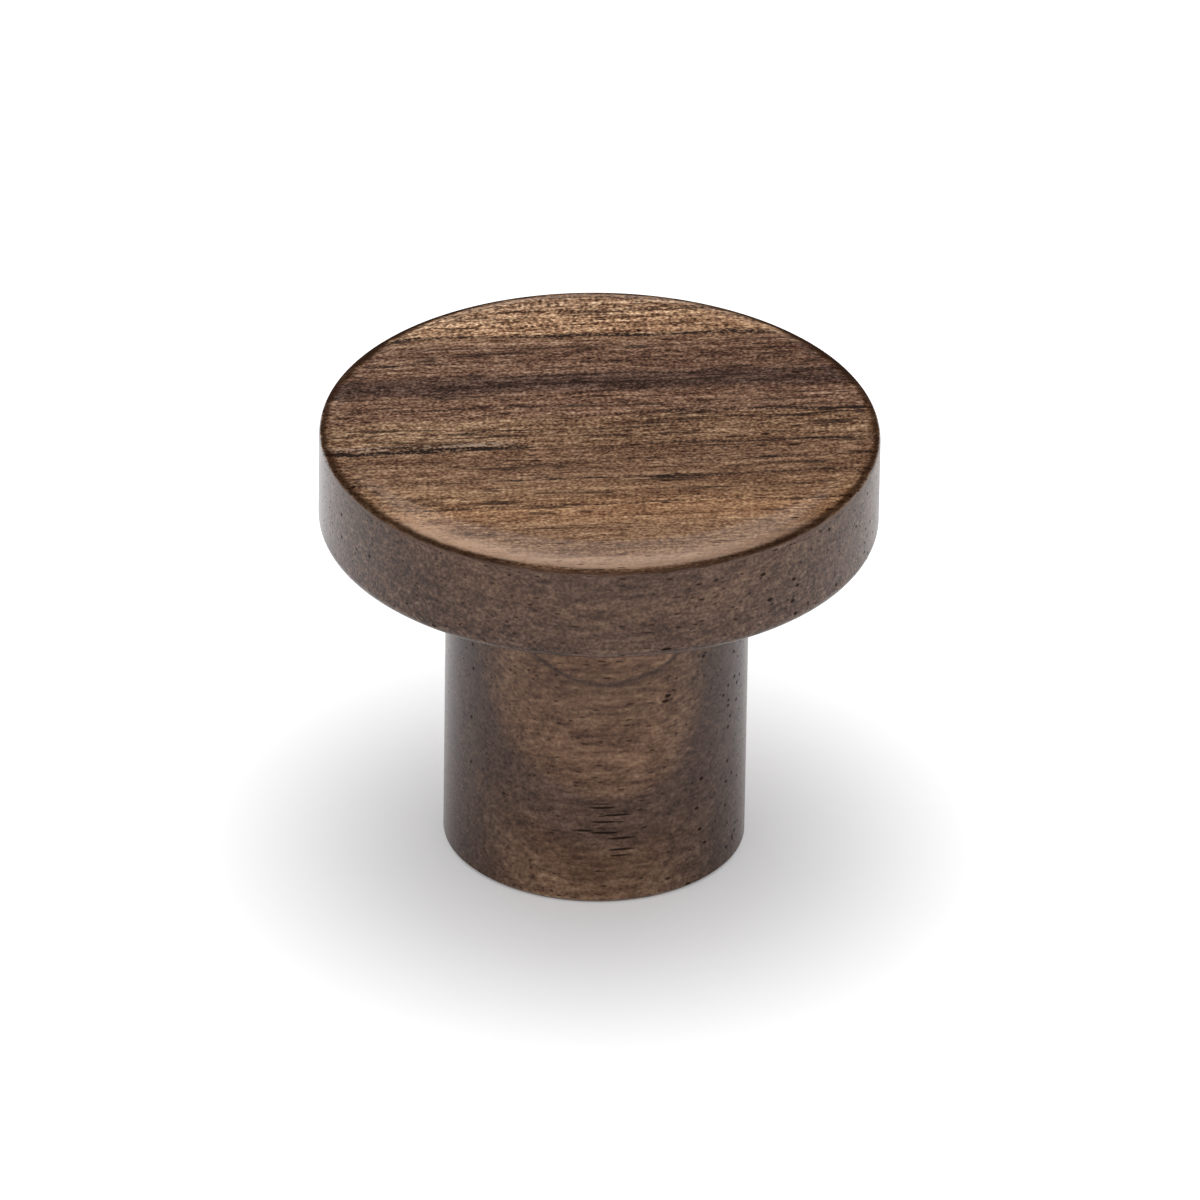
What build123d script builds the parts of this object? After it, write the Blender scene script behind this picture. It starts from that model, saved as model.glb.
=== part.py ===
from build123d import *
from math import cos, radians, sin, tan
import os

# A round cabinet knob that stands on its foot, in millimetres.
# The origin is the centre of the foot, +Z runs up the axis to the face, +X runs along the grain.

# Head, turned from one block with the stem
head_diameter = 35.0
head_thickness = 7.6
shoulder_radius = 3.5  # soft shoulder between the flat face and its edge
shoulder_angle = 30.0  # how far the shoulder falls away before the edge takes over
head_front_edge_radius = 1.0
head_back_edge_radius = 0.8

# Stem
stem_diameter = 19.0
stem_length = 22.0  # from the foot to the back of the head
foot_edge_chamfer = 0.25

# M4 thread of the insert, whose bore is modelled at the thread's inner diameter
thread_diameter = 4.0
thread_pitch = 0.7
thread_mouth_chamfer = 0.4

# Knurled brass insert
insert_diameter = 6.5
insert_length = 12.0
insert_end_chamfer = 0.5
pilot_length = 1.2  # plain nose that starts the insert in its hole
waist_length = 2.0  # plain groove between the two knurled bands
waist_depth = 0.6
knurl_grooves = 24
knurl_depth = 0.35
knurl_angle = 90.0

# Stepped blind hole in the foot
insert_recess = 0.3  # how far the insert's end lies inside the foot
insert_clearance = 0.05  # on the diameter, filled by glue
foot_mouth_chamfer = 0.4
runout_clearance = 0.4  # on the diameter, round the screw's tip
runout_depth = 4.0  # past the insert
drill_point_angle = 118.0

# Sizes that follow
head_radius = head_diameter / 2
stem_radius = stem_diameter / 2
knob_height = stem_length + head_thickness
shoulder_sine = sin(radians(shoulder_angle))
shoulder_cosine = cos(radians(shoulder_angle))
front_edge_x = head_radius - head_front_edge_radius
flat_face_radius = front_edge_x - (shoulder_radius - head_front_edge_radius) * shoulder_sine
front_edge_z = (
    knob_height - shoulder_radius
    + (shoulder_radius - head_front_edge_radius) * shoulder_cosine
)
thread_bore_radius = (thread_diameter - thread_pitch) / 2
insert_radius = insert_diameter / 2
seat_radius = insert_radius + insert_clearance / 2
seat_depth = insert_recess + insert_length
runout_radius = (thread_diameter + runout_clearance) / 2


def turned_blank():
    """The knob as it comes off the lathe: its half outline, turned round the axis."""
    with BuildPart() as blank:
        with BuildSketch(Plane.XZ):
            with BuildLine():
                back_edge = CenterArc(
                    (head_radius - head_back_edge_radius, stem_length + head_back_edge_radius),
                    head_back_edge_radius, start_angle=-90, arc_size=90,
                )
                front_edge = CenterArc(
                    (front_edge_x, front_edge_z),
                    head_front_edge_radius, start_angle=0, arc_size=90 - shoulder_angle,
                )
                shoulder = CenterArc(
                    (flat_face_radius, knob_height - shoulder_radius),
                    shoulder_radius, start_angle=90 - shoulder_angle, arc_size=shoulder_angle,
                )
                Line(back_edge @ 1, front_edge @ 0)
                Polyline(
                    shoulder @ 1,
                    (0, knob_height),
                    (0, 0),
                    (stem_radius - foot_edge_chamfer, 0),
                    (stem_radius, foot_edge_chamfer),
                    (stem_radius, stem_length),
                    back_edge @ 0,
                )
            make_face()
        revolve(axis=Axis.Z)
    return blank.part


def stepped_hole():
    """What the stepped drill takes out of the foot: mouth, insert seat and run-out for the screw."""
    point_height = runout_radius / tan(radians(drill_point_angle / 2))
    runout_end = seat_depth + runout_depth
    with BuildPart() as hole:
        with BuildSketch(Plane.XZ):
            with BuildLine():
                Polyline(
                    (0, 0),
                    (seat_radius + foot_mouth_chamfer, 0),
                    (seat_radius, foot_mouth_chamfer),
                    (seat_radius, seat_depth),
                    (runout_radius, seat_depth),
                    (runout_radius, runout_end),
                    (0, runout_end + point_height),
                    close=True,
                )
            make_face()
        revolve(axis=Axis.Z)
    return hole.part


def knurl_cutters():
    """V grooves along the insert, evenly spaced round it, as long as the insert."""
    reach = 2 * knurl_depth
    half_width = reach * tan(radians(knurl_angle / 2))
    with BuildPart() as cutters:
        with BuildSketch():
            with PolarLocations(
                insert_radius - knurl_depth, knurl_grooves, start_angle=180 / knurl_grooves
            ):
                Polygon((0, 0), (reach, -half_width), (reach, half_width), align=None)
        extrude(amount=insert_length)
    return cutters.part


def insert_blank():
    """The insert before knurling: two bands, the waist between them, the pilot and the tapped bore."""
    waist_radius = insert_radius - waist_depth
    knurled_end = insert_length - pilot_length
    middle = knurled_end / 2
    near_edge = middle - waist_length / 2
    far_edge = middle + waist_length / 2
    mouth_radius = thread_bore_radius + thread_mouth_chamfer
    with BuildPart() as blank:
        with BuildSketch(Plane.XZ):
            with BuildLine():
                Polyline(
                    (mouth_radius, 0),
                    (insert_radius - insert_end_chamfer, 0),
                    (insert_radius, insert_end_chamfer),
                    (insert_radius, near_edge - waist_depth),
                    (waist_radius, near_edge),
                    (waist_radius, far_edge),
                    (insert_radius, far_edge + waist_depth),
                    (insert_radius, knurled_end - waist_depth),
                    (waist_radius, knurled_end),
                    (waist_radius, insert_length),
                    (mouth_radius, insert_length),
                    (thread_bore_radius, insert_length - thread_mouth_chamfer),
                    (thread_bore_radius, thread_mouth_chamfer),
                    close=True,
                )
            make_face()
        revolve(axis=Axis.Z)
    return blank.part


def knob_body():
    """The walnut knob, head and stem in one, with its blind hole."""
    return turned_blank() - stepped_hole()


def threaded_insert():
    """The brass insert, pressed in until its nose meets the step of its hole."""
    return Pos(0, 0, insert_recess) * (insert_blank() - knurl_cutters())


os.makedirs("parts", exist_ok=True)
export_step(knob_body(), "parts/knob_body.step")
export_step(threaded_insert(), "parts/threaded_insert.step")
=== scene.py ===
import math

import bpy
from mathutils import Matrix, Vector


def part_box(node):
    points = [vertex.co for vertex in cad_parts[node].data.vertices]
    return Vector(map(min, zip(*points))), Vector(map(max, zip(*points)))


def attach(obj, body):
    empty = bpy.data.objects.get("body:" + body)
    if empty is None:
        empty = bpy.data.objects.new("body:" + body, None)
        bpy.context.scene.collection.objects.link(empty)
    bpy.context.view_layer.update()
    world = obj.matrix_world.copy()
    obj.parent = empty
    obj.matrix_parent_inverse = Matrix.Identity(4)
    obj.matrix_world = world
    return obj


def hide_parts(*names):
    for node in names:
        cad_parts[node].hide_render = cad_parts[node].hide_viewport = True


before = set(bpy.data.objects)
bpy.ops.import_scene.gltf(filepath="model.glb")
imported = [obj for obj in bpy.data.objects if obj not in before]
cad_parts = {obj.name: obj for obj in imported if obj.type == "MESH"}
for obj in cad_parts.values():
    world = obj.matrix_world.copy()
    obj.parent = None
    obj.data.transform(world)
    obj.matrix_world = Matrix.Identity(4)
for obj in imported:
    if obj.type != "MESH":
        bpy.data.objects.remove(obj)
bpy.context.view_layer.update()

# A round walnut cabinet knob on its foot, with a knurled brass insert in the foot.
# Lengths are in millimetres, angles in degrees and colours in linear light, unless a heading says
# otherwise. MM turns millimetres into the scene's metres.
# A span's two numbers say where it starts and ends. Two more say what it gives there, and without
# them it gives 0 and 1.
MM = 0.001

# Knob outline, with its overall sizes taken from the frame
_, BODY_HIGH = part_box("knob_body")
HEAD_RADIUS = BODY_HIGH.y / MM
KNOB_HEIGHT = BODY_HIGH.z / MM
HEAD_BACK_HEIGHT = 22.0
BACK_EDGE_RADIUS = 0.8
FRONT_EDGE_RADIUS = 1.0
SHOULDER_RADIUS = 3.5
SHOULDER_ANGLE = 30.0
STEM_RADIUS = 9.5
FOOT_CHAMFER = 0.25

# Hole in the foot
SEAT_RADIUS = 3.275
SEAT_DEPTH = 12.3
MOUTH_CHAMFER = 0.4
RUNOUT_RADIUS = 2.2
RUNOUT_DEPTH = 4.0
DRILL_POINT_ANGLE = 118.0

# Brass insert, with its place and length taken from the frame
INSERT_LOW, INSERT_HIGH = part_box("threaded_insert")
INSERT_FOOT = INSERT_LOW.z / MM
INSERT_LENGTH = (INSERT_HIGH.z - INSERT_LOW.z) / MM
INSERT_RADIUS = 3.25
INSERT_END_CHAMFER = 0.5
PILOT_LENGTH = 1.2
WAIST_LENGTH = 2.0
WAIST_DEPTH = 0.6
KNURL_GROOVES = 24
KNURL_DEPTH = 0.35
THREAD_RADIUS = 2.0
THREAD_CREST_RADIUS = 1.65
THREAD_PITCH = 0.7
THREAD_HALF_ANGLE = 30.0
THREAD_ROOT_FLAT = 0.125  # share of the pitch
THREAD_MOUTH_CHAMFER = 0.4

# Mesh fineness
LATHE_SEGMENTS = 512
ARC_STEP = 5.0
FACE_STEPS = 8
SIDE_STEPS = 6
BACK_STEPS = 5
STEM_STEPS = 12
FOOT_STEPS = 4
SEAT_STEPS = 4
RUNOUT_STEPS = 2
THREAD_ROWS_PER_PITCH = 14
SHADING_MARGIN = 0.04  # from a flat's ends to the close rows that keep its shading flat
SHARP_ANGLE = 25.0  # edges sharper than this are left sharp

# Camera
CAMERA_TARGET = Vector((0.169, 0.0, 16.469)) * MM
CAMERA_DISTANCE = 1058.75 * MM
CAMERA_ELEVATION = 29.601
CAMERA_ROLL = 0.883
CAMERA_LENS = 507.1
CAMERA_SENSOR = 36.0

# Light, in metres and watts
SOFTBOX_HEIGHT = 3.0
SOFTBOX_WIDTH = 4.2
SOFTBOX_DEPTH = 5.6
SOFTBOX_POWER = 118.0
WORLD_LIGHT = 0.22  # strength of the world's light
WORLD_SEEN = 0.15  # strength of the world where it shows

# Floor, in metres
FLOOR_RING = 0.1  # inner ring of the flat's faces
FLOOR_RADIUS = 1.3  # where the flat turns up into the cove
COVE_RADIUS = 0.6
COVE_SWEEP = 60.0
FLOOR_SEGMENTS = 128
FLOOR_SEEN = (0.78, 0.775, 0.79, 1.0)
FLOOR_BOUNCE = (0.55, 0.54, 0.54, 1.0)
# The floor's seen glow is weakest round the knob and a little in front of it: painted shadow there, on
# top of the softbox's own shadow
FLOOR_GLOW = (0.007, 0.04, 0.245, 0.62)  # span by the distance from the glow's middle
FLOOR_GLOW_SHIFT = (0.0, 0.004, 0.0)  # added to a place, so that the glow's middle lies forward


def arc(centre, radius, start, sweep):
    """Points along an arc in the (radius, height) plane, both ends included."""
    steps = max(2, round(abs(sweep) / ARC_STEP))
    angles = [math.radians(start + sweep * step / steps) for step in range(steps + 1)]
    return [(centre[0] + radius * math.cos(a), centre[1] + radius * math.sin(a)) for a in angles]


def straight(start, end, steps):
    """Points between two ends, with a close row at each end."""
    margin = SHADING_MARGIN / math.dist(start, end)
    shares = [margin]
    shares += [step / steps for step in range(1, steps)]
    shares += [1 - margin]
    return [tuple(a + (b - a) * share for a, b in zip(start, end)) for share in shares]


def knob_outline():
    """The knob's half outline from the middle of its face, round the outside and up into the hole."""
    shoulder_angle = math.radians(SHOULDER_ANGLE)
    inner_radius = SHOULDER_RADIUS - FRONT_EDGE_RADIUS
    shoulder_height = KNOB_HEIGHT - SHOULDER_RADIUS
    front_centre = (
        HEAD_RADIUS - FRONT_EDGE_RADIUS, shoulder_height + inner_radius * math.cos(shoulder_angle)
    )
    flat_radius = front_centre[0] - inner_radius * math.sin(shoulder_angle)
    back_centre = (HEAD_RADIUS - BACK_EDGE_RADIUS, HEAD_BACK_HEIGHT + BACK_EDGE_RADIUS)
    shoulder = arc((flat_radius, shoulder_height), SHOULDER_RADIUS, 90, -SHOULDER_ANGLE)
    front = arc(front_centre, FRONT_EDGE_RADIUS, 90 - SHOULDER_ANGLE, SHOULDER_ANGLE - 90)
    back = arc(back_centre, BACK_EDGE_RADIUS, 0, -90)
    centre = (0.0, KNOB_HEIGHT)
    stem_top = (STEM_RADIUS, HEAD_BACK_HEIGHT)
    stem_foot = (STEM_RADIUS, FOOT_CHAMFER)
    foot_rim = (STEM_RADIUS - FOOT_CHAMFER, 0.0)
    mouth = (SEAT_RADIUS + MOUTH_CHAMFER, 0.0)
    seat_foot = (SEAT_RADIUS, MOUTH_CHAMFER)
    seat_end = (SEAT_RADIUS, SEAT_DEPTH)
    step = (RUNOUT_RADIUS, SEAT_DEPTH)
    runout_end = (RUNOUT_RADIUS, SEAT_DEPTH + RUNOUT_DEPTH)
    point_height = RUNOUT_RADIUS / math.tan(math.radians(DRILL_POINT_ANGLE / 2))
    tip = (0.0, SEAT_DEPTH + RUNOUT_DEPTH + point_height)
    return [
        centre, *straight(centre, shoulder[0], FACE_STEPS), *shoulder, *front[1:],
        *straight(front[-1], back[0], SIDE_STEPS), *back,
        *straight(back[-1], stem_top, BACK_STEPS), stem_top,
        *straight(stem_top, stem_foot, STEM_STEPS), stem_foot,
        foot_rim, *straight(foot_rim, mouth, FOOT_STEPS), mouth,
        seat_foot, *straight(seat_foot, seat_end, SEAT_STEPS), seat_end,
        step, *straight(step, runout_end, RUNOUT_STEPS), runout_end, tip,
    ]


def mesh_object(name, vertices, faces, material):
    """A smooth-shaded object of its own mesh, with its sharp edges left sharp."""
    mesh = bpy.data.meshes.new(name)
    mesh.from_pydata(vertices, [], faces)
    mesh.validate()
    mesh.shade_smooth()
    mesh.set_sharp_from_angle(angle=math.radians(SHARP_ANGLE))
    mesh.materials.append(material)
    piece = bpy.data.objects.new(name, mesh)
    bpy.context.scene.collection.objects.link(piece)
    return piece


def lathe(outline, segments, scale):
    """Vertices and faces of an outline turned round the Z axis; a point on the axis becomes a pole."""
    vertices, faces, rings = [], [], []
    turns = [2 * math.pi * i / segments for i in range(segments)]
    for radius, height in outline:
        if radius == 0.0:
            rings.append([len(vertices)] * segments)
            vertices.append((0.0, 0.0, height * scale))
            continue
        rings.append(range(len(vertices), len(vertices) + segments))
        vertices += [
            (radius * math.cos(t) * scale, radius * math.sin(t) * scale, height * scale)
            for t in turns
        ]
    for upper, lower in zip(rings, rings[1:]):
        for i in range(segments):
            j = (i + 1) % segments
            corners = (upper[i], lower[i], lower[j], upper[j])
            faces.append(tuple(dict.fromkeys(corners)))
    return vertices, faces


def insert_turns():
    """Angles round the insert: each knurl groove's bottom, flanks, edges and the crest between."""
    edge = KNURL_DEPTH * KNURL_GROOVES / (2 * math.pi * INSERT_RADIUS)
    shares = (-0.5, -edge, -edge / 2, 0.0, edge / 2, edge)
    return [
        2 * math.pi * (groove + 0.5 + share) / KNURL_GROOVES
        for groove in range(KNURL_GROOVES)
        for share in shares
    ]


def knurl_radius(turn):
    """How far out the knurl reaches here: a groove's flanks rise as much as they go sideways."""
    pitch = 2 * math.pi / KNURL_GROOVES
    off = abs(turn % pitch - pitch / 2)
    return INSERT_RADIUS - KNURL_DEPTH + off * INSERT_RADIUS


def thread_radius(turn, height):
    """The insert's bore with its helical thread and the chamfer at each mouth."""
    depth = THREAD_RADIUS - THREAD_CREST_RADIUS
    flank = depth * math.tan(math.radians(THREAD_HALF_ANGLE)) / THREAD_PITCH
    phase = (height / THREAD_PITCH - turn / (2 * math.pi)) % 1.0
    off = abs(phase - 0.5) - THREAD_ROOT_FLAT / 2
    cut = depth * min(1.0, max(0.0, 1 - off / flank))
    mouth = THREAD_MOUTH_CHAMFER - min(height, INSERT_LENGTH - height)
    return THREAD_CREST_RADIUS + max(cut, mouth)


def insert_skin():
    """The insert's outline on the outside, from its foot to its nose."""
    waist = INSERT_RADIUS - WAIST_DEPTH
    knurled_end = INSERT_LENGTH - PILOT_LENGTH
    middle = knurled_end / 2
    return [
        (INSERT_RADIUS - INSERT_END_CHAMFER, 0.0),
        (INSERT_RADIUS, INSERT_END_CHAMFER),
        (INSERT_RADIUS, middle - WAIST_LENGTH / 2 - WAIST_DEPTH),
        (waist, middle - WAIST_LENGTH / 2),
        (waist, middle + WAIST_LENGTH / 2),
        (INSERT_RADIUS, middle + WAIST_LENGTH / 2 + WAIST_DEPTH),
        (INSERT_RADIUS, knurled_end - WAIST_DEPTH),
        (waist, knurled_end),
        (waist, INSERT_LENGTH),
    ]


def insert_mesh():
    """Vertices and faces of the insert: knurled skin outside, threaded bore inside."""
    turns = insert_turns()
    count = len(turns)
    rows = []
    for radius, height in insert_skin():
        rows.append([(min(radius, knurl_radius(t)), height, t) for t in turns])
    steps = round(INSERT_LENGTH / THREAD_PITCH * THREAD_ROWS_PER_PITCH)
    for step in range(steps + 1):
        height = INSERT_LENGTH * (1 - step / steps)
        rows.append([(thread_radius(t, height), height, t) for t in turns])
    vertices = [
        (r * math.cos(t) * MM, r * math.sin(t) * MM, (INSERT_FOOT + h) * MM)
        for row in rows
        for r, h, t in row
    ]
    faces = []
    for k in range(len(rows)):
        lower, upper = k * count, (k + 1) % len(rows) * count
        for i in range(count):
            j = (i + 1) % count
            faces.append((lower + i, lower + j, upper + j, upper + i))
    return vertices, faces


class Nodes:
    """The nodes of a new material or world, and short ways to add and join them."""

    def __init__(self, owner):
        self.owner = owner
        owner.use_nodes = True
        self.tree = owner.node_tree
        self.tree.nodes.clear()

    def add(self, kind, inputs, **settings):
        node = self.tree.nodes.new("ShaderNode" + kind)
        for key, value in settings.items():
            setattr(node, key, value)
        for key, value in inputs.items():
            if isinstance(value, bpy.types.NodeSocket):
                self.tree.links.new(value, node.inputs[key])
            else:
                node.inputs[key].default_value = value
        return node

    def math(self, operation, a, b=0.0, c=0.0, clamp=False):
        node = self.add("Math", {0: a, 1: b, 2: c}, operation=operation, use_clamp=clamp)
        return node.outputs[0]

    def product(self, first, *others):
        for other in others:
            first = self.math("MULTIPLY", first, other)
        return first

    def off(self, value, middle):
        """How far a value is off its middle, on either side."""
        return self.math("ABSOLUTE", self.math("SUBTRACT", value, middle))

    def sway(self, base, noise, strength):
        """The base moved up and down by a noise."""
        return self.math("MULTIPLY_ADD", self.math("SUBTRACT", noise, 0.5), strength, base)

    def span(self, value, low, high, to_low=0.0, to_high=1.0):
        """value from low to high as a smooth step between two results."""
        inputs = {
            "Value": value, "From Min": low, "From Max": high,
            "To Min": to_low, "To Max": to_high,
        }
        return self.add("MapRange", inputs, interpolation_type="SMOOTHSTEP").outputs[0]

    def place(self, x, y, z):
        return self.add("CombineXYZ", {0: x, 1: y, 2: z}).outputs[0]

    def stretch(self, vector, factors):
        node = self.add("VectorMath", {0: vector, 1: factors}, operation="MULTIPLY")
        return node.outputs[0]

    def noise(self, place, cells, detail):
        """Smooth noise with so many cells per millimetre on each axis."""
        inputs = {"Vector": self.stretch(place, cells), "Scale": 1.0, "Detail": detail}
        return self.add("TexNoise", inputs).outputs[0]

    def mix(self, factor, a, b, blend="MIX"):
        """Two colours mixed: a at factor 0, b at factor 1."""
        inputs = {0: factor, 6: a, 7: b}
        return self.add("Mix", inputs, data_type="RGBA", blend_type=blend).outputs[2]

    def finish(self, shader, output="OutputMaterial"):
        self.add(output, {"Surface": shader})
        return self.owner


# Walnut. The grain runs along X and drifts across it. Growth is the wood's place among its rings:
# it rises with height and falls towards the back, so each ring climbs towards the back, more
# steeply in the stem than in the head. Cells are counted per millimetre along each axis.
GRAIN_DRIFT = 0.1
HEAD_CLIMB = 0.8
STEM_CLIMB = 1.3
STEM_MIDDLE = -0.3  # X of the middle of the stem's figure
FLANK_START = 5.0  # off the stem's middle, where its rings start to curve up
FLANK_CURVE = 0.5
FACE_HEIGHTS = (28.2, 28.6)  # span by height from the head's side to its face

# Wavers of the rings: cells along and across the grain, detail and strength
RING_WAVERS = (
    (0.04, 0.12, 2.0, 1.2),
    (0.14, 0.6, 3.0, 0.9),
)

# Over the shoulder the rings slip across the grain by this much for each millimetre that the wood
# falls away: back at the front of the knob, and forward behind it. Seen from above the front, the
# rings there keep straight lines.
SHOULDER_SLIP = 1.76
SLIP_TURN = (5.0, 12.0, -SHOULDER_SLIP, SHOULDER_SLIP)  # span by Y
SHOULDER_HEIGHTS = (28.0, 28.4)  # span by height: above it, rings are read at the face's height
SHOULDER_FALL = 0.7  # how much of its fall the shoulder's fine figure keeps

ORANGE_TAN = (0.45, 0.256, 0.145, 1.0)
TAN = (0.375, 0.216, 0.128, 1.0)
GOLDEN = (0.33, 0.174, 0.09, 1.0)
GOLDEN_BROWN = (0.256, 0.138, 0.074, 1.0)
EDGE_BROWN = (0.242, 0.13, 0.071, 1.0)
YELLOW_BROWN = (0.222, 0.121, 0.067, 1.0)
WARM_BROWN = (0.2, 0.105, 0.059, 1.0)
RED_BROWN = (0.19, 0.098, 0.059, 1.0)
PURPLE_BROWN = (0.172, 0.088, 0.053, 1.0)
DARK_BROWN = (0.103, 0.053, 0.036, 1.0)
SIDE_BROWN = (0.122, 0.065, 0.045, 1.0)
STEM_LIGHT = (0.33, 0.18, 0.105, 1.0)
STEM_MID = (0.275, 0.148, 0.086, 1.0)
STEM_DARK = (0.176, 0.098, 0.066, 1.0)
STEM_FOOT = (0.35, 0.2, 0.118, 1.0)
PORE_BROWN = (0.018, 0.008, 0.005, 1.0)
# painted shade for the face's edge
RIM_SHADE_BROWN = (0.03, 0.012, 0.005, 1.0)
# painted highlight colour for glints and flecks
GLINT_PALE = (0.42, 0.32, 0.25, 1.0)
# painted highlight colours for the front shoulder's sheen
SHEEN_PALE = (0.64, 0.42, 0.295, 1.0)
SHEEN_ORANGE = (0.76, 0.49, 0.335, 1.0)

# Colours of the rings: growth and colour
HEAD_BANDS = (
    (6.0, RED_BROWN),
    (12.0, WARM_BROWN),
    (15.6, GOLDEN),
    (17.6, TAN),
    (19.4, ORANGE_TAN),
    (20.7, ORANGE_TAN),
    (21.3, WARM_BROWN),
    (22.4, PURPLE_BROWN),
    (24.7, PURPLE_BROWN),
    (25.7, DARK_BROWN),
    (26.6, DARK_BROWN),
    (27.3, RED_BROWN),
    (29.2, RED_BROWN),
    (29.9, YELLOW_BROWN),
    (32.2, YELLOW_BROWN),
    (32.9, WARM_BROWN),
    (35.4, WARM_BROWN),
    (37.4, GOLDEN_BROWN),
    (39.2, GOLDEN),
    (41.0, EDGE_BROWN),
    (44.0, EDGE_BROWN),
)
STEM_BANDS = (
    (-4.0, RED_BROWN),
    (6.0, GOLDEN_BROWN),
    (12.5, STEM_FOOT),
    (15.4, WARM_BROWN),
    (17.8, STEM_DARK),
    (19.6, STEM_DARK),
    (20.7, STEM_MID),
    (22.8, STEM_LIGHT),
    (26.5, STEM_LIGHT),
    (28.0, STEM_MID),
    (28.3, DARK_BROWN),
    (28.6, STEM_LIGHT),
    (31.0, STEM_LIGHT),
)
SIDE_SHARE = 0.7  # how much of the head's side is SIDE_BROWN

# The stem's flanks carry painted shade, darker than its front and back
FLANK_SHADE_FROM = (5.0, 14.0, 1.6, 4.4)  # span by height of where they start, off the middle
FLANK_SHADE_TO = 8.2
FLANK_SHADE_SHARE = 0.95

# Single dark growth lines on the face: growth, half width, strength, and the stretch of X along
# which each one is clear
LEFT = -20.0  # past the face's left end
RIGHT = 20.0
GROWTH_LINES = (
    (17.1, 0.12, 0.4, LEFT, RIGHT),
    (18.6, 0.14, 0.5, LEFT, RIGHT),
    (21.2, 0.22, 0.9, LEFT, 12.0),
    (23.9, 0.16, 0.5, LEFT, RIGHT),
    (25.4, 0.14, 0.5, LEFT, RIGHT),
    (26.3, 0.35, 0.35, LEFT, RIGHT),
    (28.4, 0.14, 0.5, LEFT, 4.0),
    (29.3, 0.24, 0.7, 2.0, RIGHT),
    (30.9, 0.12, 0.5, LEFT, -2.0),
    (32.65, 0.22, 1.5, LEFT, -3.5),
    (32.6, 0.20, 0.6, 1.0, RIGHT),
    (34.3, 0.14, 0.45, LEFT, RIGHT),
    (35.9, 0.18, 0.6, LEFT, RIGHT),
    (38.6, 0.16, 0.65, LEFT, RIGHT),
)
LINE_CORE = 0.3  # share of its half width at which a line is full
LINE_FADE = 3.0  # stretch of X along which a line's end fades
LINE_BREAKS = (0.8, 1.25, 1.2, 0.4)  # span by level: lines are strongest where the wood is dark
LINES_OFF_FACE = 0.15

# Hair lines along the grain, broken here and there
HAIR_CELLS = (0.05, 1.1, 1.1)
HAIR_WIDTH = (0.035, 0.008)
HAIR_GAP_CELLS = (0.35, 1.5, 1.5)
HAIR_GAPS = (0.4, 0.62)
HAIR_STRENGTH = 0.75

# Painted highlights: pale glints just behind the strongest growth line, where the crack catches the
# light, and pale flecks all over the face
CRACK_GLINT_GROWTH = 32.25
CRACK_GLINT_WIDTH = (0.24, 0.1)
CRACK_GLINT_ENDS = (-4.5, -7.0, 0.0, 0.7)  # span by X
CRACK_GLINT_LEVEL = (0.8, 1.1)
FLECK_CELLS = (1.1, 5.0, 5.0)
FLECKS = (0.72, 0.8, 0.0, 0.5)

# Streaks and specks of the figure: cells along and across the grain, and how strongly they lighten
# and darken the face, the head's side and the stem
FIGURE_NOISE = (
    (0.07, 1.3, 0.75, 0.6, 0.45),
    (0.3, 2.6, 0.85, 0.9, 0.6),
    (1.2, 4.0, 0.95, 0.9, 0.62),
    (4.5, 5.5, 1.9, 1.6, 0.75),
)
FIGURE_CALM = (28.0, 41.0, 0.96, 0.66)  # span by growth: the figure is calmer towards the front
LEVEL_LEAST = 0.15
SIDE_LEVEL = (0.0, 8.0, 0.98, 1.045)  # span by X, on the head's side and the stem
FACE_LEVEL_ENDS = (-10.0, 12.0)  # span by X from the face's left level to its right one
FACE_LEFT_LEVEL = 1.03
FACE_RIGHT_LEVEL = (20.8, 21.4, 0.9, 0.965)  # span by growth, lowest in the tan band
LEVEL_POWERS = (2.2, 2.65, 2.9)  # red, green, blue: the wood gets warmer as it gets darker

# Open pores: cells, a pore's size in its cell, and the share of the cells that have one
FINE_CELLS = (0.7, 3.0, 3.0)
FINE_SIZE = 0.24
FINE_SHARE = 0.55
FINE_STRENGTH = 0.75
LARGE_CELLS = (0.5, 1.7, 1.7)
LARGE_SIZE = 0.25
LARGE_SHARE_OFF_FACE = (1.0, 8.0, 0.06, 0.42)  # span by X
LARGE_SHARE_ON_FACE = (-2.0, 8.0, 0.03, 0.15)  # span by X
PORE_CORE = 0.6  # share of its size at which a pore is full
PORE_STRENGTH = 0.92

# Dots where the tan band's pores are cut across
DOT_CELLS = (2.0, 1.5, 1.0)
DOT_SIZE = 0.33
DOT_SHARE = 0.75
DOT_STRENGTH = 0.7
DOT_ZONE_START = (16.5, 17.5)  # spans by growth
DOT_ZONE_END = (21.1, 20.8)

# Patch of long open pores low on the stem's front
DASHES_X = 0.9
DASHES_Z = 5.2
DASHES_HALF_WIDTH = 2.1
DASHES_HALF_HEIGHT = 2.3
DASHES_EDGE = (1.3, 0.6)  # span by the square of how far out in the patch
DASH_CELLS = (0.22, 2.4, 1.0)
DASH_SIZE = 0.24
DASH_SHARE = 0.9

# Painted highlight on the front shoulder: its satin sheen painted pale, and orange at the left
SHEEN_TOP = (29.4, 28.85)  # spans by height
SHEEN_FOOT = (28.5, 28.7)
SHEEN_FRONT = (-10.0, -14.0, 0.0, 0.9)  # span by Y
SHEEN_RIGHT = (3.0, 13.0, 1.0, 0.55)  # span by X
SHEEN_LEVEL = (0.75, 1.2, 0.75, 1.0)
SHEEN_PALE_FROM = (-9.0, -2.0)  # span by X
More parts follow.
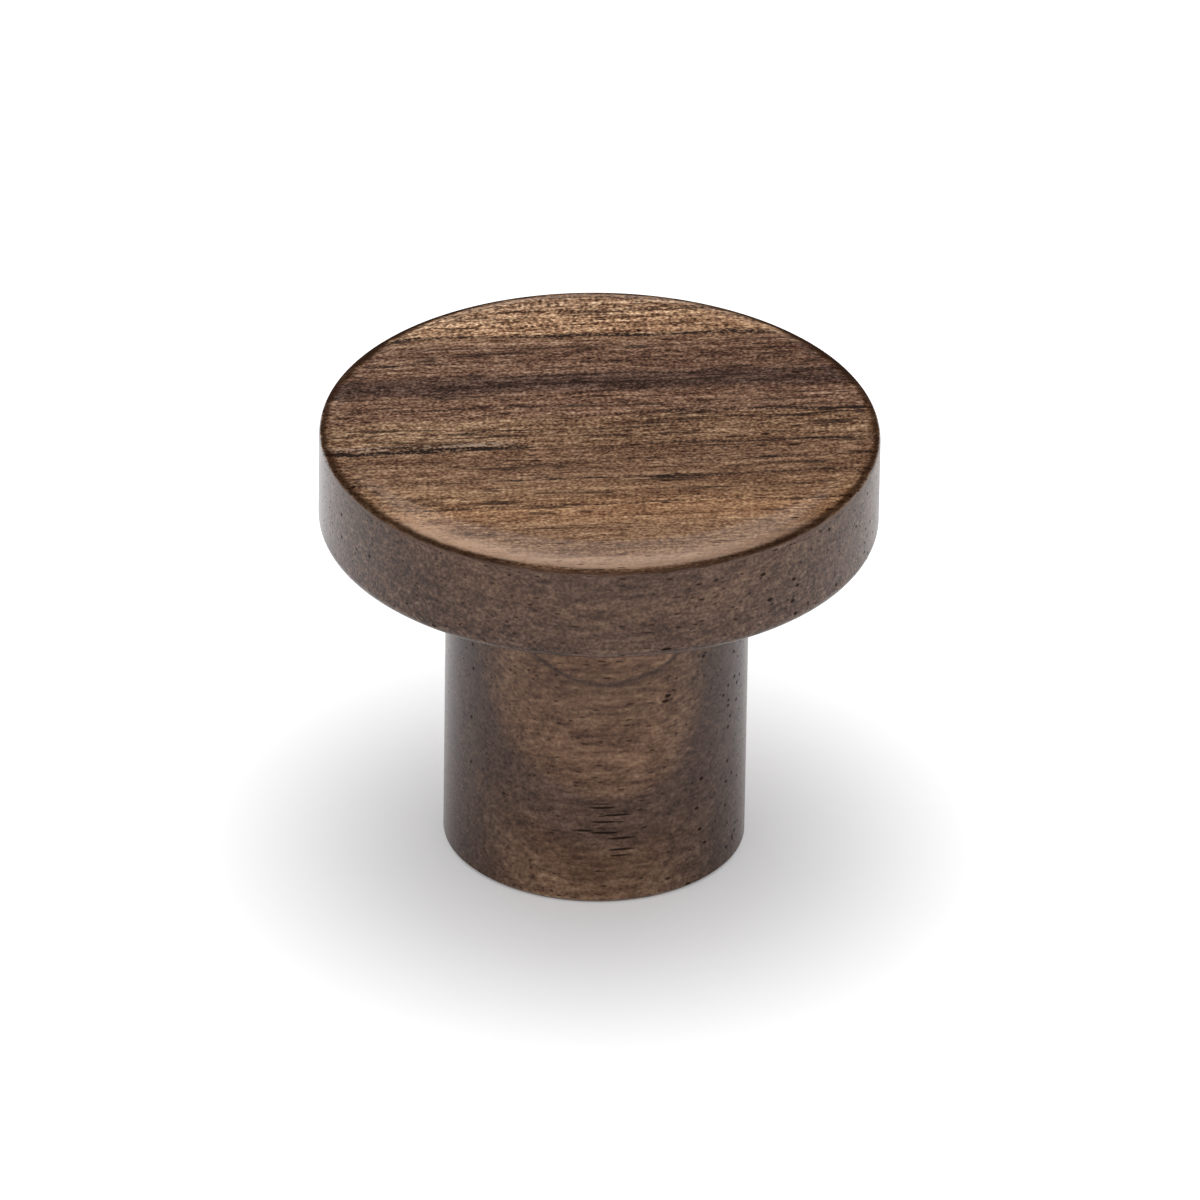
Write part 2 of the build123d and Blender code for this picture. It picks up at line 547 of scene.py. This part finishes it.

# Painted shade along the edge of the face, on a line that climbs towards the back. It is strongest at the
# left and right ends, where it also stands for darker end grain, and behind.
RIM_LINE_HEIGHT = 28.97
RIM_LINE_CLIMB = 0.036
RIM_LINE_TOP = 29.25
RIM_HALF_WIDTH = 0.34
RIM_CORE = 0.06
RIM_WANDER_CELLS = (0.8, 0.8, 0.8)
RIM_WANDER = 0.3
RIM_BEHIND = (0.0, 8.0)  # span by Y
RIM_ENDS = (0.0, 12.0, 0.0, 0.8)  # span by how far X is off the middle
RIM_FADE_TOP = KNOB_HEIGHT - 0.03
RIM_FADE_FOOT = (0.0, 1.0, KNOB_HEIGHT - 0.08, KNOB_HEIGHT - 0.16)  # span from front to back

# Where the edge's gloss is gone
DULL_WIDTH = (RIM_HALF_WIDTH * 1.2, RIM_HALF_WIDTH * 0.5)
DULL_FRONT = (-16.5, -13.0)  # span by Y
DULL_BACK = (28.0, 28.7)  # span by height
DULL_TOP = (KNOB_HEIGHT - 0.01, KNOB_HEIGHT - 0.15)

# Satin coat
COAT_RIGHT = (10.0, 17.0, 0.97, 0.74)  # span by X
COAT_ON_STEM = (4.0, 9.0, 0.92, 0.82)  # span by X, as a share
COAT_IN_PORES = 0.2
COAT_WHERE_DULL = 0.02
FIGURE_RELIEF = 0.3

# Brass
BRASS_LIGHT = (0.78, 0.58, 0.28, 1.0)
BRASS_DARK = (0.62, 0.44, 0.2, 1.0)
CLOUD_CELLS = (0.8, 0.8, 0.8)
TURNING_CELLS = (0.4, 0.4, 14.0)
TURNING_ROUGHNESS = (0.2, 0.8, 0.22, 0.4)


def object_place(nodes):
    """The place in the object, in millimetres."""
    place = nodes.add("TexCoord", {}).outputs["Object"]
    return nodes.stretch(place, (1 / MM, 1 / MM, 1 / MM))


def figure_place(nodes, x, y, z):
    """The place in the figure, its part across the grain, and the height at which rings are read."""
    across = nodes.math("MULTIPLY_ADD", x, -GRAIN_DRIFT, y)
    under_face = nodes.math("SUBTRACT", KNOB_HEIGHT, z)
    height = nodes.math("MULTIPLY_ADD", under_face, nodes.span(z, *SHOULDER_HEIGHTS), z)
    slip = nodes.span(y, *SLIP_TURN)
    across = nodes.math("MULTIPLY_ADD", nodes.math("SUBTRACT", height, z), slip, across)
    depth = nodes.math("MULTIPLY_ADD", nodes.math("SUBTRACT", z, height), SHOULDER_FALL, height)
    return nodes.place(x, across, depth), across, height


def growth_rings(nodes, place, across, height, off_middle):
    """Growth in the head and growth in the stem."""
    waver = height
    for along_cells, across_cells, detail, strength in RING_WAVERS:
        noise = nodes.noise(place, (along_cells, across_cells, across_cells), detail)
        waver = nodes.sway(waver, noise, strength)
    growth = nodes.math("MULTIPLY_ADD", across, -HEAD_CLIMB, waver)
    stem_growth = nodes.math("MULTIPLY_ADD", across, -STEM_CLIMB, waver)
    flank = nodes.math("MAXIMUM", nodes.math("SUBTRACT", off_middle, FLANK_START), 0.0)
    stem_growth = nodes.math("MULTIPLY_ADD", nodes.product(flank, flank), -FLANK_CURVE, stem_growth)
    return growth, stem_growth


def colour_bands(nodes, growth, bands):
    """The wood's colour across its growth rings."""
    low, high = bands[0][0], bands[-1][0]
    share = nodes.math("DIVIDE", nodes.math("SUBTRACT", growth, low), high - low)
    node = nodes.add("ValToRGB", {"Fac": share})
    ramp = node.color_ramp
    ramp.interpolation = "EASE"
    ramp.elements.remove(ramp.elements[-1])
    for index, (at, colour) in enumerate(bands):
        position = (at - low) / (high - low)
        element = ramp.elements[0] if index == 0 else ramp.elements.new(position)
        element.position = position
        element.color = colour
    return node.outputs["Color"]


def ring_colour(nodes, growth, stem_growth, off_middle, z, face, head):
    """The colour of the rings in the head and in the stem, with painted shade on the stem's flanks."""
    off_face = nodes.math("SUBTRACT", 1.0, face)
    head_colour = colour_bands(nodes, growth, HEAD_BANDS)
    head_colour = nodes.mix(nodes.product(off_face, SIDE_SHARE), head_colour, SIDE_BROWN)
    flank_from = nodes.span(z, *FLANK_SHADE_FROM)
    # painted shade on the stem's flanks
    dark = nodes.span(off_middle, flank_from, FLANK_SHADE_TO, 0.0, FLANK_SHADE_SHARE)
    stem_colour = nodes.mix(dark, colour_bands(nodes, stem_growth, STEM_BANDS), DARK_BROWN)
    return nodes.mix(head, stem_colour, head_colour)


def figure_level(nodes, place, growth, x, face, head):
    """How light the streaks and specks make the wood, about 1."""
    level = 0.0
    for along, across, on_face, on_side, on_stem in FIGURE_NOISE:
        streaks = nodes.noise(place, (along, across, across), 1.0)
        reach = nodes.span(head, 0.0, 1.0, on_stem, on_side)
        reach = nodes.span(face, 0.0, 1.0, reach, on_face)
        level = nodes.sway(level, streaks, reach)
    level = nodes.product(level, nodes.span(growth, *FIGURE_CALM))
    level = nodes.math("MAXIMUM", nodes.math("ADD", level, 1.0), LEVEL_LEAST)
    off_face = nodes.span(x, *SIDE_LEVEL)
    right = nodes.span(growth, *FACE_RIGHT_LEVEL)
    on_face = nodes.span(x, *FACE_LEVEL_ENDS, FACE_LEFT_LEVEL, right)
    return nodes.product(level, nodes.span(face, 0.0, 1.0, off_face, on_face))


def figure_shade(nodes, level):
    """What the level does to red, green and blue."""
    return nodes.place(*[nodes.math("POWER", level, power) for power in LEVEL_POWERS])


def growth_lines(nodes, growth, x):
    """How dark the single growth lines are here, from 0 up."""
    total = 0.0
    for at, half_width, strength, x_from, x_to in GROWTH_LINES:
        line = nodes.span(nodes.off(growth, at), half_width, half_width * LINE_CORE)
        if x_from > LEFT:
            line = nodes.product(line, nodes.span(x, x_from, x_from + LINE_FADE))
        if x_to < RIGHT:
            line = nodes.product(line, nodes.span(x, x_to, x_to - LINE_FADE))
        total = nodes.math("MULTIPLY_ADD", line, strength, total)
    return total


def hair_lines(nodes, place):
    """Thin dark lines that run along the grain, broken here and there, from 0 to 1."""
    rings = nodes.noise(place, HAIR_CELLS, 2.0)
    gaps = nodes.noise(place, HAIR_GAP_CELLS, 1.0)
    return nodes.product(nodes.span(nodes.off(rings, 0.5), *HAIR_WIDTH), nodes.span(gaps, *HAIR_GAPS))


def dark_lines(nodes, place, growth, level, x, face):
    """Growth lines and hair lines together, from 0 to 1, faint off the face."""
    lines = nodes.product(growth_lines(nodes, growth, x), nodes.span(level, *LINE_BREAKS))
    lines = nodes.math("MULTIPLY_ADD", hair_lines(nodes, place), HAIR_STRENGTH, lines)
    on_face = nodes.span(face, 0.0, 1.0, LINES_OFF_FACE, 1.0)
    return nodes.math("MULTIPLY", lines, on_face, clamp=True)


def painted_glints(nodes, place, growth, level, x, face):
    """Painted highlights on the face, from 0 to 1: glints along the crack and pale flecks."""
    crack_glint = nodes.product(
        nodes.span(nodes.off(growth, CRACK_GLINT_GROWTH), *CRACK_GLINT_WIDTH),
        nodes.span(x, *CRACK_GLINT_ENDS),
        nodes.span(level, *CRACK_GLINT_LEVEL),
    )
    flecks = nodes.span(nodes.noise(place, FLECK_CELLS, 1.0), *FLECKS)
    return nodes.product(nodes.math("MAXIMUM", crack_glint, flecks), face)


def painted_shoulder_sheen(nodes, level, x, y, z):
    """How much painted highlight the front shoulder's sheen gets here, from 0 to 1, and its colour there.
    """
    shoulder_sheen = nodes.product(
        nodes.span(z, *SHEEN_TOP),
        nodes.span(z, *SHEEN_FOOT),
        nodes.span(y, *SHEEN_FRONT),
        nodes.span(x, *SHEEN_RIGHT),
        nodes.span(level, *SHEEN_LEVEL),
    )
    return shoulder_sheen, nodes.mix(nodes.span(x, *SHEEN_PALE_FROM), SHEEN_ORANGE, SHEEN_PALE)


def pores(nodes, place, cells, size, share, dimensions="3D"):
    """Open pores, tubes along the grain: 1 inside a pore and 0 outside."""
    inputs = {"Vector": nodes.stretch(place, cells), "Scale": 1.0}
    cell = nodes.add("TexVoronoi", inputs, voronoi_dimensions=dimensions).outputs
    inside = nodes.span(cell["Distance"], size, size * PORE_CORE)
    chance = nodes.add("SeparateXYZ", {0: cell["Color"]}).outputs[0]
    return nodes.product(inside, nodes.math("LESS_THAN", chance, share))


def tan_dots(nodes, place, growth, face):
    """The pores of the tan band, cut across into dots."""
    dots = pores(nodes, place, DOT_CELLS, DOT_SIZE, DOT_SHARE, "2D")
    zone = nodes.product(nodes.span(growth, *DOT_ZONE_START), nodes.span(growth, *DOT_ZONE_END))
    return nodes.product(dots, nodes.product(zone, DOT_STRENGTH), face)


def stem_dashes(nodes, x, y, z):
    """The patch of long open pores low on the stem's front, from 0 to 1."""
    off = nodes.math("DIVIDE", nodes.math("SUBTRACT", x, DASHES_X), DASHES_HALF_WIDTH)
    rise = nodes.math("DIVIDE", nodes.math("SUBTRACT", z, DASHES_Z), DASHES_HALF_HEIGHT)
    square = nodes.math("MULTIPLY_ADD", off, off, nodes.product(rise, rise))
    patch = nodes.product(nodes.span(square, *DASHES_EDGE), nodes.math("LESS_THAN", y, 0.0))
    dashes = pores(nodes, nodes.place(x, z, 0.0), DASH_CELLS, DASH_SIZE, DASH_SHARE, "2D")
    return nodes.product(dashes, patch)


def open_pores(nodes, place, growth, x, y, z, face):
    """All the open pores together, from 0 to 1."""
    large_share = nodes.mix(
        face, nodes.span(x, *LARGE_SHARE_OFF_FACE), nodes.span(x, *LARGE_SHARE_ON_FACE)
    )
    fine = pores(nodes, place, FINE_CELLS, FINE_SIZE, FINE_SHARE)
    large = pores(nodes, place, LARGE_CELLS, LARGE_SIZE, large_share)
    pore = nodes.math("MAXIMUM", nodes.product(fine, FINE_STRENGTH), large)
    pore = nodes.math("MAXIMUM", pore, tan_dots(nodes, place, growth, face))
    return nodes.math("MAXIMUM", pore, stem_dashes(nodes, x, y, z))


def off_rim_line(nodes, place, y, z):
    """How far this height is off the line of painted rim shade, which wanders a little."""
    line = nodes.math("MULTIPLY_ADD", y, RIM_LINE_CLIMB, RIM_LINE_HEIGHT)
    line = nodes.math("MINIMUM", line, RIM_LINE_TOP)
    line = nodes.sway(line, nodes.noise(place, RIM_WANDER_CELLS, 2.0), RIM_WANDER)
    return nodes.off(z, line)


def rim_painted_shade(nodes, place, x, y, z):
    """The painted shade on the edge of the face, from 0 to 1, and the wider zone where its gloss is gone.
    """
    off_line = off_rim_line(nodes, place, y, z)
    behind = nodes.span(y, *RIM_BEHIND)
    fade = nodes.span(z, RIM_FADE_TOP, nodes.span(behind, *RIM_FADE_FOOT))
    dark = nodes.product(nodes.span(off_line, RIM_HALF_WIDTH, RIM_CORE), fade)
    ends = nodes.span(nodes.math("ABSOLUTE", x), *RIM_ENDS)
    # painted shade, kept at the ends and behind
    painted_rim_shade = nodes.product(dark, nodes.math("MAXIMUM", ends, behind))
    dull_front = nodes.product(nodes.span(off_line, *DULL_WIDTH), nodes.span(y, *DULL_FRONT))
    dull_back = nodes.product(behind, nodes.span(z, *DULL_BACK))
    dull = nodes.math("MAXIMUM", dull_front, dull_back)
    dull = nodes.product(dull, nodes.span(z, *DULL_TOP))
    return painted_rim_shade, nodes.math("MAXIMUM", dark, dull)


def satin_coat(nodes, dull, pore, head, x):
    """How much of the satin coat lies here, from 0 to 1."""
    coat = nodes.span(dull, 0.0, 1.0, nodes.span(x, *COAT_RIGHT), COAT_WHERE_DULL)
    by_pore = nodes.span(pore, 0.0, 1.0, 1.0, COAT_IN_PORES)
    by_part = nodes.span(head, 0.0, 1.0, nodes.span(x, *COAT_ON_STEM), 1.0)
    return nodes.product(coat, by_pore, by_part)


def walnut():
    nodes = Nodes(bpy.data.materials.new("walnut"))
    axes = nodes.add("SeparateXYZ", {0: object_place(nodes)}).outputs
    x, y, z = axes[0], axes[1], axes[2]
    off_middle = nodes.off(x, STEM_MIDDLE)
    face = nodes.span(z, *FACE_HEIGHTS)
    head = nodes.math("GREATER_THAN", z, HEAD_BACK_HEIGHT)
    place, across, height = figure_place(nodes, x, y, z)
    growth, stem_growth = growth_rings(nodes, place, across, height, off_middle)
    level = figure_level(nodes, place, growth, x, face, head)
    pore = open_pores(nodes, place, growth, x, y, z, face)
    painted_rim_shade, dull = rim_painted_shade(nodes, place, x, y, z)
    shoulder_sheen, sheen_colour = painted_shoulder_sheen(nodes, level, x, y, z)

    colour = ring_colour(nodes, growth, stem_growth, off_middle, z, face, head)
    colour = nodes.mix(1.0, colour, figure_shade(nodes, level), "MULTIPLY")
    # painted highlights: glints along the crack and pale flecks
    colour = nodes.mix(painted_glints(nodes, place, growth, level, x, face), colour, GLINT_PALE)
    colour = nodes.mix(dark_lines(nodes, place, growth, level, x, face), colour, PORE_BROWN)
    # painted highlight: the front shoulder's sheen
    colour = nodes.mix(shoulder_sheen, colour, sheen_colour)
    colour = nodes.mix(nodes.product(pore, PORE_STRENGTH), colour, PORE_BROWN)
    # painted shade along the face's edge
    colour = nodes.mix(painted_rim_shade, colour, RIM_SHADE_BROWN)

    relief = nodes.math("MULTIPLY_ADD", pore, -1.0, nodes.product(level, FIGURE_RELIEF))
    bump = nodes.add("Bump", {"Height": relief, "Strength": 0.4, "Distance": 0.03 * MM})
    shader = nodes.add(
        "BsdfPrincipled",
        {
            "Base Color": colour,
            "Roughness": 0.55,
            "Normal": bump.outputs[0],
            "Specular IOR Level": 0.0,
            "Coat Weight": satin_coat(nodes, dull, pore, head, x),
            "Coat Roughness": 0.22,
            "Coat IOR": 1.36,
        },
    )
    return nodes.finish(shader.outputs[0])


def brass():
    nodes = Nodes(bpy.data.materials.new("brass"))
    place = object_place(nodes)
    turned = nodes.noise(place, TURNING_CELLS, 2.0)
    bump = nodes.add("Bump", {"Height": turned, "Strength": 0.3, "Distance": 0.01 * MM})
    shader = nodes.add(
        "BsdfPrincipled",
        {
            "Base Color": nodes.mix(nodes.noise(place, CLOUD_CELLS, 3.0), BRASS_LIGHT, BRASS_DARK),
            "Metallic": 1.0,
            "Roughness": nodes.span(turned, *TURNING_ROUGHNESS),
            "Normal": bump.outputs[0],
        },
    )
    return nodes.finish(shader.outputs[0])


def seen_directly(nodes):
    """1 for rays that show the floor or the world to the camera, by itself, in gloss or through glass."""
    rays = nodes.add("LightPath", {}).outputs
    seen = nodes.math("ADD", rays["Is Camera Ray"], rays["Is Glossy Ray"])
    return nodes.math("ADD", seen, rays["Is Transmission Ray"], clamp=True)


def floor_material():
    nodes = Nodes(bpy.data.materials.new("floor"))
    place = nodes.add("TexCoord", {}).outputs["Object"]
    place = nodes.add("VectorMath", {0: place, 1: FLOOR_GLOW_SHIFT}, operation="ADD").outputs[0]
    reach = nodes.add("VectorMath", {0: place}, operation="LENGTH").outputs["Value"]
    seen = seen_directly(nodes)
    # painted shadow: the seen glow is weaker round the knob's foot
    glow = nodes.product(nodes.span(reach, *FLOOR_GLOW), seen)
    colour = nodes.mix(seen, FLOOR_BOUNCE, FLOOR_SEEN)
    diffuse = nodes.add("BsdfDiffuse", {"Color": colour}).outputs[0]
    light = nodes.add("Emission", {"Strength": glow}).outputs[0]
    return nodes.finish(nodes.add("AddShader", {0: diffuse, 1: light}).outputs[0])


def make_floor():
    cove = arc((FLOOR_RADIUS, COVE_RADIUS), COVE_RADIUS, -90, COVE_SWEEP)
    outline = [(0.0, 0.0), (FLOOR_RING, 0.0), *cove]
    vertices, faces = lathe(outline, FLOOR_SEGMENTS, 1.0)
    floor = mesh_object("floor", vertices, [face[::-1] for face in faces], floor_material())


def make_world():
    nodes = Nodes(bpy.data.worlds.new("studio"))
    inputs = {"Value": seen_directly(nodes), "To Min": WORLD_LIGHT, "To Max": WORLD_SEEN}
    strength = nodes.add("MapRange", inputs).outputs[0]
    background = nodes.add("Background", {"Strength": strength}).outputs[0]
    bpy.context.scene.world = nodes.finish(background, "OutputWorld")


def make_softbox():
    data = bpy.data.lights.new("softbox", "AREA")
    data.shape = "RECTANGLE"
    data.size = SOFTBOX_WIDTH
    data.size_y = SOFTBOX_DEPTH
    data.energy = SOFTBOX_POWER
    softbox = bpy.data.objects.new("softbox", data)
    softbox.location = (0.0, 0.0, SOFTBOX_HEIGHT)
    bpy.context.scene.collection.objects.link(softbox)


def make_camera():
    elevation = math.radians(CAMERA_ELEVATION)
    back = Vector((0.0, -math.cos(elevation), math.sin(elevation)))
    up = Vector((0.0, math.sin(elevation), math.cos(elevation)))
    right = Vector((1.0, 0.0, 0.0))
    level = Matrix((right, up, back)).transposed()
    turned = level @ Matrix.Rotation(math.radians(CAMERA_ROLL), 3, "Z")
    place = Matrix.Translation(CAMERA_TARGET + back * CAMERA_DISTANCE)
    data = bpy.data.cameras.new("camera")
    data.sensor_width = CAMERA_SENSOR
    data.lens = CAMERA_LENS
    camera = bpy.data.objects.new("camera", data)
    camera.matrix_world = place @ turned.to_4x4()
    bpy.context.scene.collection.objects.link(camera)
    bpy.context.scene.camera = camera


def make_knob():
    vertices, faces = lathe(knob_outline(), LATHE_SEGMENTS, MM)
    knob = mesh_object("walnut_knob", vertices, faces, walnut())
    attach(knob, "root")
    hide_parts("knob_body")


def make_insert():
    vertices, faces = insert_mesh()
    insert = mesh_object("brass_insert", vertices, faces, brass())
    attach(insert, "root")
    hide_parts("threaded_insert")


make_camera()
make_world()
make_softbox()
make_floor()
make_knob()
make_insert()
bpy.context.scene.view_settings.view_transform = "Standard"
